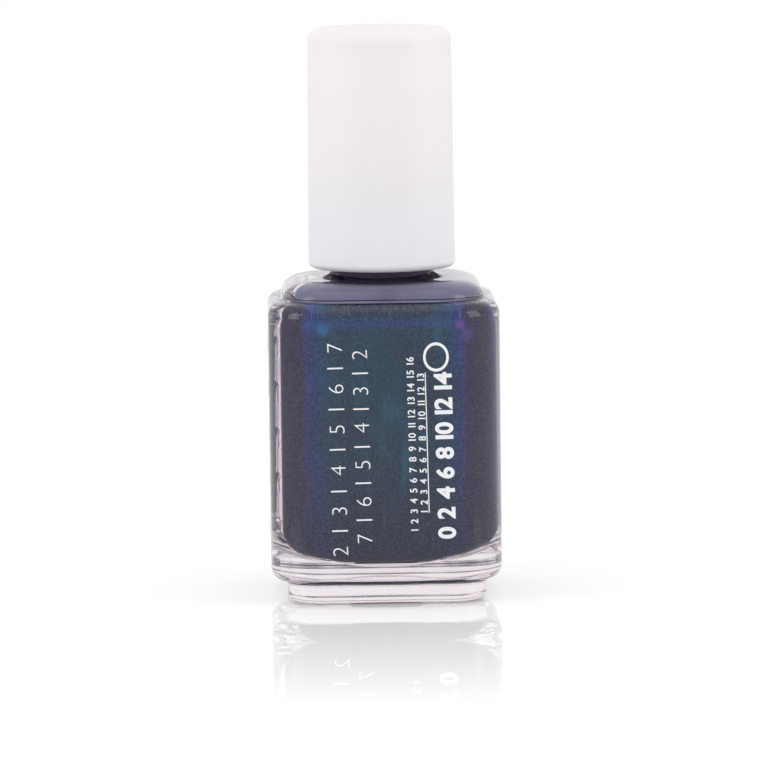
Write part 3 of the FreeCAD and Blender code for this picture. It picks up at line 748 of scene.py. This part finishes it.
def buildPolish():
    p = polish
    rise, flat = p["meniscus"], glass["cavityFlat"]
    wall = glass["cavityHalf"] - p["coat"]
    stations = [(half, at, z, -out, -up) for half, at, z, out, up in innerStations(p["into"], p["coatTop"])]
    stations.reverse()
    stations += [ring for ring in innerStations(-p["coat"], p["coatTop"]) if ring[2] > polishLevel + rise]
    stations += arcStations(wall - rise, flat, polishLevel + rise, rise, 0, -90, 8, -1)
    stations += levelStations((wall - rise, flat), (0.8 * mm, 0.3 * mm), polishLevel, 1.0, 6)
    stations.append((0.0, 0.0, polishLevel, 0.0, 1.0))
    piece = ringShell("polishLiquid", polishMaterial, stations, ringAngles(20, 20))
    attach(piece, "bottle")
    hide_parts("polish")
    return piece


report(buildPolish())

cap = {
    "footRadius": 9.7 * mm,
    "topRadius": 9.45 * mm,
    "bore": 8.5 * mm,
    "boreRound": 0.4 * mm,
    "beadRadius": 8.05 * mm,
    "beadTop": 0.5 * mm,
    "beadRound": 0.2 * mm,
    "roof": 1.3 * mm,
    "dome": 0.4 * mm,
    "edge": 1.6 * mm,
    "lip": 0.9 * mm,
    "keyCount": 6,
    "keyDepth": 0.3 * mm,
    "keyHalfWidth": 0.45 * mm,
    "keyTurn": 7.5,
    "draft": 0.008,  # how far the outer wall leans inward
}


# The keys along the bore that turn the inner cap.
def capPush(x, y, height, out):
    c = cap
    if out > -glass["squarely"] or height < capLow.z + c["beadTop"] + c["beadRound"]:
        return 0.0
    angle = math.degrees(math.atan2(y, x)) - c["keyTurn"]
    step = 360.0 / c["keyCount"]
    away = abs((angle + step / 2) % step - step / 2)
    reach = math.radians(away) * c["bore"]
    return -c["keyDepth"] * smoothStep(0.0, 0.25, 1.0 - reach / c["keyHalfWidth"])


def buildCap():
    c = cap
    low, high = capLow.z, capHigh.z
    foot, bore, edge, lip, draft = c["footRadius"], c["bore"], c["edge"], c["lip"], c["draft"]
    bead, beadTop, beadRound, boreRound = c["beadRadius"], low + c["beadTop"], c["beadRound"], c["boreRound"]
    brow = high - c["dome"]
    under = brow - c["roof"]
    lean = math.degrees(math.atan2(foot - c["topRadius"], brow - low))
    domeRadius = (c["topRadius"] ** 2 + c["dome"] ** 2) / (2 * c["dome"])
    domeMiddle = high - domeRadius
    domeSlope = math.degrees(math.asin((c["topRadius"] - edge) / domeRadius))
    edgeZ = domeMiddle + (domeRadius - edge) * math.cos(math.radians(domeSlope))
    wallTop = brow - edge * 0.9
    atTop = c["topRadius"] + (foot - c["topRadius"]) * (brow - wallTop) / (brow - low)
    stations = [(0.0, 0.0, under, 0.0, -1.0)]
    stations += levelStations((boreRound, 0.0), (bore - boreRound, 0.0), under, -1.0, 5)
    stations += arcStations(bore - boreRound, 0.0, under - boreRound, boreRound, 90, 0, 5, -1)
    stations += wallStations(bore, 0.0, under - boreRound, beadTop, -1.0, 24)
    stations.append((bore, 0.0, beadTop + 0.02 * mm, -1.0, 0.0))
    stations += arcStations(bead + beadRound, 0.0, beadTop - beadRound, beadRound, 90, 180, 4)
    stations += arcStations(bead + beadRound, 0.0, low + beadRound, beadRound, 180, 270, 4)
    stations += arcStations(foot - lip, 0.0, low + lip, lip, -90, lean, 12)
    stations += lineStations((foot, 0.0, low + lip, 1.0, draft), (atTop, 0.0, wallTop, 1.0, draft), 20)
    stations += arcStations(atTop - edge, 0.0, edgeZ, edge, lean, 90 - domeSlope, 14)
    stations += arcStations(0.0, 0.0, domeMiddle, domeRadius, 90 - domeSlope, 90, 12)[1:-1]
    stations.append((0.0, 0.0, high, 0.0, 1.0))
    piece = ringShell("capShell", capMaterial, stations, ringAngles(36, 14), capPush)
    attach(piece, "applicator")
    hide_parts("overcap")
    return piece


report(buildCap())

brush = {
    "Count": 640,
    "Filament Radius": 0.055 * mm,
    "Root Half Width": 1.5 * mm,
    "Root Half Thickness": 0.7 * mm,
    "Belly Width": 1.5,  # how much wider than the root the tuft is at its belly
    "Belly Thickness": 1.3,
    "Tip Width": 1.15,
    "Tip Thickness": 0.65,
    "Seed": 11,
}
brushSink = 1.2 * mm  # how far the filaments reach up into the socket
spreadLabels = ("across", "along", "loose")


# Runs a geometry tree on an empty mesh and returns the plain mesh piece.
def runGeometry(name, tree, settings):
    carrier = addObject(name + "Host", bpy.data.meshes.new(name + "Host"))
    modifier = carrier.modifiers.new(name, "NODES")
    modifier.node_group = tree
    for item in tree.interface.items_tree:
        if item.in_out == "INPUT" and item.name in settings:
            modifier[item.identifier] = settings[item.name]
    bpy.context.view_layer.update()
    graph = bpy.context.evaluated_depsgraph_get()
    made = bpy.data.meshes.new_from_object(carrier.evaluated_get(graph), depsgraph=graph)
    carrier.modifiers.remove(modifier)
    bpy.data.objects.remove(carrier)
    made.name = name
    return addObject(name, made)


def makeFilamentTree():
    kinds = {"Count": "Int", "Seed": "Int", "Material": "Material"}
    inputs = [(label, kinds.get(label, "Float"), start) for label, start in brush.items()]
    inputs += [("Length", "Float", 15 * mm), ("Top", "Float", 23 * mm), ("Material", "Material", None)]
    tree, given, result = newGroup("brushFilaments", "GeometryNodeTree",
                                   [("Geometry", "Geometry", None)] + inputs, [("Geometry", "Geometry")])
    current = addNode(tree, "GeometryNodePoints", Count=given["Count"]).outputs[0]
    turn, spread, loose = (addNode(tree, "FunctionNodeRandomValue", Seed=plus(given["Seed"], float(index)))
                           for index in range(3))
    turn.inputs[3].default_value = 2 * math.pi
    radius = mathNode("SQRT", spread.outputs[1])
    placed = [times(radius, mathNode(wave, turn.outputs[1])) for wave in ("COSINE", "SINE")]
    placed.append(loose.outputs[1])
    for label, share in zip(spreadLabels, placed):
        current = addNode(tree, "GeometryNodeStoreNamedAttribute", domain="POINT", Geometry=current,
                          Name=label, Value=share).outputs[0]
    line = addNode(tree, "GeometryNodeCurvePrimitiveLine", End=(0.0, 0.0, -1.0))
    resample = addNode(tree, "GeometryNodeResampleCurve", Curve=line.outputs[0], Count=13)
    scatter = addNode(tree, "GeometryNodeInstanceOnPoints", Points=current, Instance=resample.outputs[0])
    realize = addNode(tree, "GeometryNodeRealizeInstances", Geometry=scatter.outputs[0])
    factor = addNode(tree, "GeometryNodeSplineParameter").outputs["Factor"]
    across, along, loose = (addNode(tree, "GeometryNodeInputNamedAttribute", Name=label).outputs[0]
                            for label in spreadLabels)
    swell = mathNode("SINE", times(factor, math.pi))

    # half the tuft's girth: from root to belly over the first half, then in to the tip
    def girth(size):
        tip = given["Tip " + size]
        taper = plus(1.0, times(factor, minus(tip, 1.0)))
        extra = times(swell, minus(given["Belly " + size], times(plus(tip, 1.0), 0.5)))
        return times(given["Root Half " + size], plus(taper, extra))

    # the outer filaments and some stray ones are a little shorter
    outerShort = times(mathNode("POWER", mathNode("ABSOLUTE", across), 2.5), 0.16)
    share = minus(minus(1.0, outerShort), times(loose, 0.035))
    drop = times(times(factor, given["Length"]), share)
    bend = mathNode("SINE", plus(times(factor, 5.0), times(loose, 40.0)))
    waver = times(bend, times(factor, 0.05 * mm))
    join = addNode(tree, "ShaderNodeCombineXYZ", X=plus(times(across, girth("Width")), waver),
                   Y=plus(times(along, girth("Thickness")), waver), Z=minus(given["Top"], drop))
    move = addNode(tree, "GeometryNodeSetPosition", Geometry=realize.outputs[0], Position=join.outputs[0])
    ring = addNode(tree, "GeometryNodeCurvePrimitiveCircle", Resolution=4, Radius=given["Filament Radius"])
    skin = addNode(tree, "GeometryNodeCurveToMesh", **{
        "Curve": move.outputs[0], "Profile Curve": ring.outputs[0], "Fill Caps": True})
    smooth = addNode(tree, "GeometryNodeSetShadeSmooth", Geometry=skin.outputs[0])
    paint = addNode(tree, "GeometryNodeSetMaterial", Geometry=smooth.outputs[0], Material=given["Material"])
    feed(result["Geometry"], paint.outputs[0])
    return tree


def buildBrush():
    top = stemEnd + brushSink
    piece = runGeometry("brushTuft", makeFilamentTree(),
                        {**brush, "Length": top - tuftLow.z, "Top": top, "Material": bristleMaterial})
    for label in spreadLabels:
        piece.data.attributes.remove(piece.data.attributes[label])
    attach(piece, "applicator")
    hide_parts("bristles")
    return piece


report(buildBrush())

# White scales of plain numbers on the front, which read upwards, all in mm.
printing = {
    "thickness": 0.02,
    "proud": 0.018,  # how far the ink's front stands off the glass
    "tilt": -1.0,  # degrees that the whole print leans
    "tiltAbout": 21.0,
    # each run: text, middle across, lowest, highest, digit height, added stroke
    "runs": [
        ("2|3|4|5|6|7", -6.40, 6.9, 34.8, 2.05, -0.055),
        ("7|6|5|4|3|2", -3.18, 8.5, 33.8, 2.05, -0.055),
        ("1 2 3 4 5 6 7 8 9 10 11 12 13 14 15 16", 3.35, 9.9, 32.7, 0.92, 0.02),
        ("1 2 3 4 5 6 7 8 9 10 11 12 13", 4.68, 12.3, 30.5, 0.90, 0.02),
        ("0 2 4 6 8 10 12 14", 7.55, 8.7, 30.6, 2.15, 0.10),
    ],
    "rule": (5.30, 12.2, 30.6, 0.13),
    "ring": (6.76, 32.6, 1.68, 0.33),
    "ringStretch": 1.14,
    "ringSteps": 48,
    "gapShare": 0.375,  # a space takes this much of a digit's height
    "tickWidth": 0.20,
    "strokeScale": 7.3,
}


def flatGlyph(character, stroke):
    curve = bpy.data.curves.new("glyph", "FONT")
    curve.body = character
    curve.size = 10.0
    curve.offset = stroke
    curve.resolution_u = 6
    carrier = addObject("glyph", curve)
    bpy.context.view_layer.update()
    graph = bpy.context.evaluated_depsgraph_get()
    mesh = bpy.data.meshes.new_from_object(carrier.evaluated_get(graph))
    spots = [tuple(vertex.co) for vertex in mesh.vertices]
    faces = [tuple(polygon.vertices) for polygon in mesh.polygons]
    bpy.data.objects.remove(carrier)
    bpy.data.curves.remove(curve)
    bpy.data.meshes.remove(mesh)
    return spots, faces


# All that is printed goes into one sheet of flat faces, which then gets its thickness.
def addFaces(sheet, spots, faces):
    made = [sheet.verts.new((x * mm, 0.0, z * mm)) for x, z in spots]
    for face in faces:
        try:
            sheet.faces.new([made[index] for index in face])
        except ValueError:  # this face is there already
            continue


def addBar(sheet, x, z, width, height):
    across, along = width / 2, height / 2
    addFaces(sheet, [(x - across, z - along), (x + across, z - along), (x + across, z + along),
                     (x - across, z + along)], [(0, 1, 2, 3)])


def addRing(sheet, x, z, radius, width):
    spots = []
    steps = printing["ringSteps"]
    for step in range(steps):
        angle = 2 * math.pi * step / steps
        for reach in (radius - width, radius):
            spots.append((x + reach * math.cos(angle), z + reach * math.sin(angle) * printing["ringStretch"]))
    count = 2 * steps
    addFaces(sheet, spots, [(i, i + 1, (i + 3) % count, (i + 2) % count) for i in range(0, count, 2)])


def addRun(sheet, text, middle, low, high, tall, stroke):
    p = printing
    glyphs = {character: flatGlyph(character, stroke / tall * p["strokeScale"])
              for character in sorted(set(text) - {" ", "|"})}
    size = tall / max(spot[1] for spot in flatGlyph("0", 0.0)[0])
    widths = {" ": p["gapShare"] * tall, "|": p["tickWidth"]}
    starts = {}
    for character, (spots, _) in glyphs.items():
        xs = [spot[0] * size for spot in spots]
        starts[character] = min(xs)
        widths[character] = max(xs) - min(xs)
    between = (high - low - sum(widths[character] for character in text)) / (len(text) - 1)
    along = low
    for character in text:
        width = widths[character]
        if character == "|":
            addBar(sheet, middle, along + width / 2, tall, width)
        elif character in glyphs:
            spots, faces = glyphs[character]
            addFaces(sheet, [(middle + tall / 2 - spot[1] * size, along + spot[0] * size - starts[character])
                             for spot in spots], faces)
        along += width + between


def buildPrint():
    p = printing
    flat = bmesh.new()
    for run in p["runs"]:
        addRun(flat, *run)
    x, low, high, width = p["rule"]
    addBar(flat, x, (low + high) / 2, width, high - low)
    addRing(flat, *p["ring"])
    bmesh.ops.remove_doubles(flat, verts=flat.verts, dist=0.0005 * mm)
    for face in flat.faces:
        if face.normal.y > 0:
            face.normal_flip()
    grown = bmesh.ops.extrude_face_region(flat, geom=list(flat.faces), use_keep_orig=True)
    for element in grown["geom"]:
        if isinstance(element, bmesh.types.BMVert):
            element.co.y = p["thickness"] * mm
    about = Vector((0.0, 0.0, p["tiltAbout"] * mm))
    lean = Matrix.Rotation(math.radians(p["tilt"]), 3, "Y")
    forward = Vector((0.0, -glass["bodyHalf"] - p["proud"] * mm, 0.0))
    for vertex in flat.verts:
        vertex.co = lean @ (vertex.co - about) + about + forward
    bmesh.ops.recalc_face_normals(flat, faces=flat.faces)
    mesh = bpy.data.meshes.new("frontPrint")
    flat.to_mesh(mesh)
    flat.free()
    mesh.materials.append(inkMaterial)
    piece = addObject("frontPrint", mesh)
    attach(piece, "bottle")
    return piece


report(buildPrint())

# The blank film label in the recess under the foot.
label = {
    "half": 9.2 * mm,
    "flat": 7.2 * mm,
    "low": 0.43 * mm,
    "high": 0.56 * mm,  # a film of air stays between the label and the glass
    "edge": 0.05 * mm,
}


def buildLabel():
    flat, low, high, edge = label["flat"], label["low"], label["high"], label["edge"]
    rim, middle = label["half"] - edge, (0.8 * mm, 0.6 * mm)
    stations = [(0.0, 0.0, low, 0.0, -1.0)]
    stations += levelStations(middle, (rim, flat), low, -1.0, 4)
    stations += arcStations(rim, flat, low + edge, edge, -90, 0, 3)
    stations += arcStations(rim, flat, high - edge, edge, 0, 90, 3)
    stations += levelStations((rim, flat), middle, high, 1.0, 4)
    stations.append((0.0, 0.0, high, 0.0, 1.0))
    piece = ringShell("footLabel", labelMaterial, stations, ringAngles(6, 8))
    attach(piece, "bottle")
    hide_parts("base_label")
    return piece


report(buildLabel())

for nodeName, material in (
    ("inner_cap", innerCapMaterial), ("sealing_ring", sealMaterial), ("stem", stemMaterial),
    ("brush_anchor", anchorMaterial), ("mixing_ball_1", ballMaterial), ("mixing_ball_2", ballMaterial),
):
    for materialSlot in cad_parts[nodeName].material_slots:
        materialSlot.material = material
print("CAD nodes finished")

studio = {
    "floorHalf": 2.5,
    "floorSteps": 8,
    "floorColour": (0.80, 0.80, 0.80),
    "mirrorShare": 0.40,
    "mirrorRough": 0.02,
    "mirrorNear": 0.020,
    "mirrorFar": 0.140,
    "lift": 0.30,  # white that only the camera, mirrors and glass see in the floor
    "liftThrough": 0.50,  # the share of that white that is seen through the glass
    "whiteThrough": 0.74,  # the same for the white further off
    "whiteFrom": 0.10,
    "whiteTo": 0.32,
    "skyLight": 0.82,
    # each lamp: place, the point it faces, width, height and power
    "softboxes": {"topBox": ((0.0, -0.15, 0.7), (0, 0, 0.03), 0.6, 0.6, 0.55),
                  "leftBox": ((-0.6, -0.25, 0.25), (0, 0, 0.04), 0.3, 0.5, 0.9),
                  "rightBox": ((0.6, -0.25, 0.25), (0, 0, 0.04), 0.3, 0.5, 0.9)},
    "glossyBounces": 12,  # light turns back and forth in the thick glass wall
}
white = (1.0, 1.0, 1.0)


# Whether the camera, a mirror or glass sees a point, and whether glass does.
def seenBy(tree):
    path = addNode(tree, "ShaderNodeLightPath").outputs
    through = path["Is Transmission Ray"]
    return larger(larger(path["Is Camera Ray"], path["Is Glossy Ray"]), through), through


def joinShaders(tree, kind, *sources):
    node = addNode(tree, "ShaderNode" + kind + "Shader")
    for socket, source in zip(node.inputs, sources):
        feed(socket, source)
    return node.outputs[0]


def buildFloor():
    s = studio
    half, steps = s["floorHalf"], s["floorSteps"]
    row = steps + 1
    rungs = [-half + 2 * half * i / steps for i in range(row)]
    spots = [(x, y, 0.0) for y in rungs for x in rungs]
    corners = [j * row + i for j in range(steps) for i in range(steps)]
    mesh = bpy.data.meshes.new("studioFloor")
    mesh.from_pydata(spots, [], [(k, k + 1, k + row + 1, k + row) for k in corners])
    mesh.update()
    floor = addObject("studioFloor", mesh)
    material, place = newMaterial("whiteFloor")
    tree = material.node_tree
    away = vectorNode("LENGTH", place)
    seen, through = seenBy(tree)
    liftShare = mathNode("MULTIPLY_ADD", through, s["liftThrough"] - 1.0, 1.0)
    farStrength = mathNode("MULTIPLY_ADD", through, s["whiteThrough"] - 1.0, 1.0)
    matt = addNode(tree, "ShaderNodeBsdfDiffuse", Color=s["floorColour"])
    lift = addNode(tree, "ShaderNodeEmission", Strength=times(times(seen, liftShare), s["lift"]))
    mirror = addNode(tree, "ShaderNodeBsdfGlossy", Roughness=s["mirrorRough"], Color=white)
    far = addNode(tree, "ShaderNodeEmission", Strength=farStrength)
    fade = mapRange(away, s["mirrorNear"], s["mirrorFar"], s["mirrorShare"], 0.0)
    farShare = times(seen, mapRange(away, s["whiteFrom"], s["whiteTo"]))
    total = joinShaders(tree, "Add", matt.outputs[0], lift.outputs[0])
    near = joinShaders(tree, "Mix", fade, total, mirror.outputs[0])
    bright = joinShaders(tree, "Mix", farShare, near, far.outputs[0])
    addNode(tree, "ShaderNodeOutputMaterial", Surface=bright)
    mesh.materials.append(material)


def buildWorld():
    world = bpy.data.worlds.new("studioWorld")
    world.use_nodes = True
    tree = world.node_tree
    tree.nodes.clear()
    strength = addNode(tree, "ShaderNodeMapRange", **{"Value": seenBy(tree)[0], "To Min": studio["skyLight"],
                                                      "To Max": 1.0})
    background = addNode(tree, "ShaderNodeBackground", Color=white, Strength=strength.outputs[0])
    addNode(tree, "ShaderNodeOutputWorld", Surface=background.outputs[0])
    bpy.context.scene.world = world


def addSoftbox(name, place, target, width, height, power):
    light = bpy.data.lights.new(name, "AREA")
    light.shape = "RECTANGLE"
    light.size = width
    light.size_y = height
    light.energy = power
    lamp = addObject(name, light)
    lamp.location = place
    lamp.rotation_euler = (Vector(target) - Vector(place)).to_track_quat("-Z", "Y").to_euler()


view = {
    "azimuth": math.radians(-1.3),
    "elevation": math.radians(6.3),
    "roll": math.radians(-0.7),
    "distance": 0.9,
    "frameWidth": 101.7 * mm,
    "aim": Vector((0.10 * mm, 0.0, 27.6 * mm)),
    "sensor": 36.0,
}


def buildCamera():
    v = view
    camera = bpy.data.cameras.new("studioCamera")
    camera.sensor_width = v["sensor"]
    camera.lens = v["sensor"] * v["distance"] / v["frameWidth"]
    camera.clip_start, camera.clip_end = 0.01, 50.0
    level = math.cos(v["elevation"])
    back = Vector((math.sin(v["azimuth"]) * level, -math.cos(v["azimuth"]) * level, math.sin(v["elevation"])))
    holder = addObject("studioCamera", camera)
    holder.location = v["aim"] + back * v["distance"]
    turn = (-back).to_track_quat("-Z", "Y").to_matrix().to_4x4()
    holder.rotation_euler = (turn @ Matrix.Rotation(v["roll"], 4, "Z")).to_euler()
    bpy.context.scene.camera = holder


buildFloor()
buildWorld()
for name, setting in studio["softboxes"].items():
    addSoftbox(name, *setting)
buildCamera()
bpy.context.scene.view_settings.view_transform = "Standard"
bpy.context.scene.cycles.glossy_bounces = studio["glossyBounces"]
print("studio built")
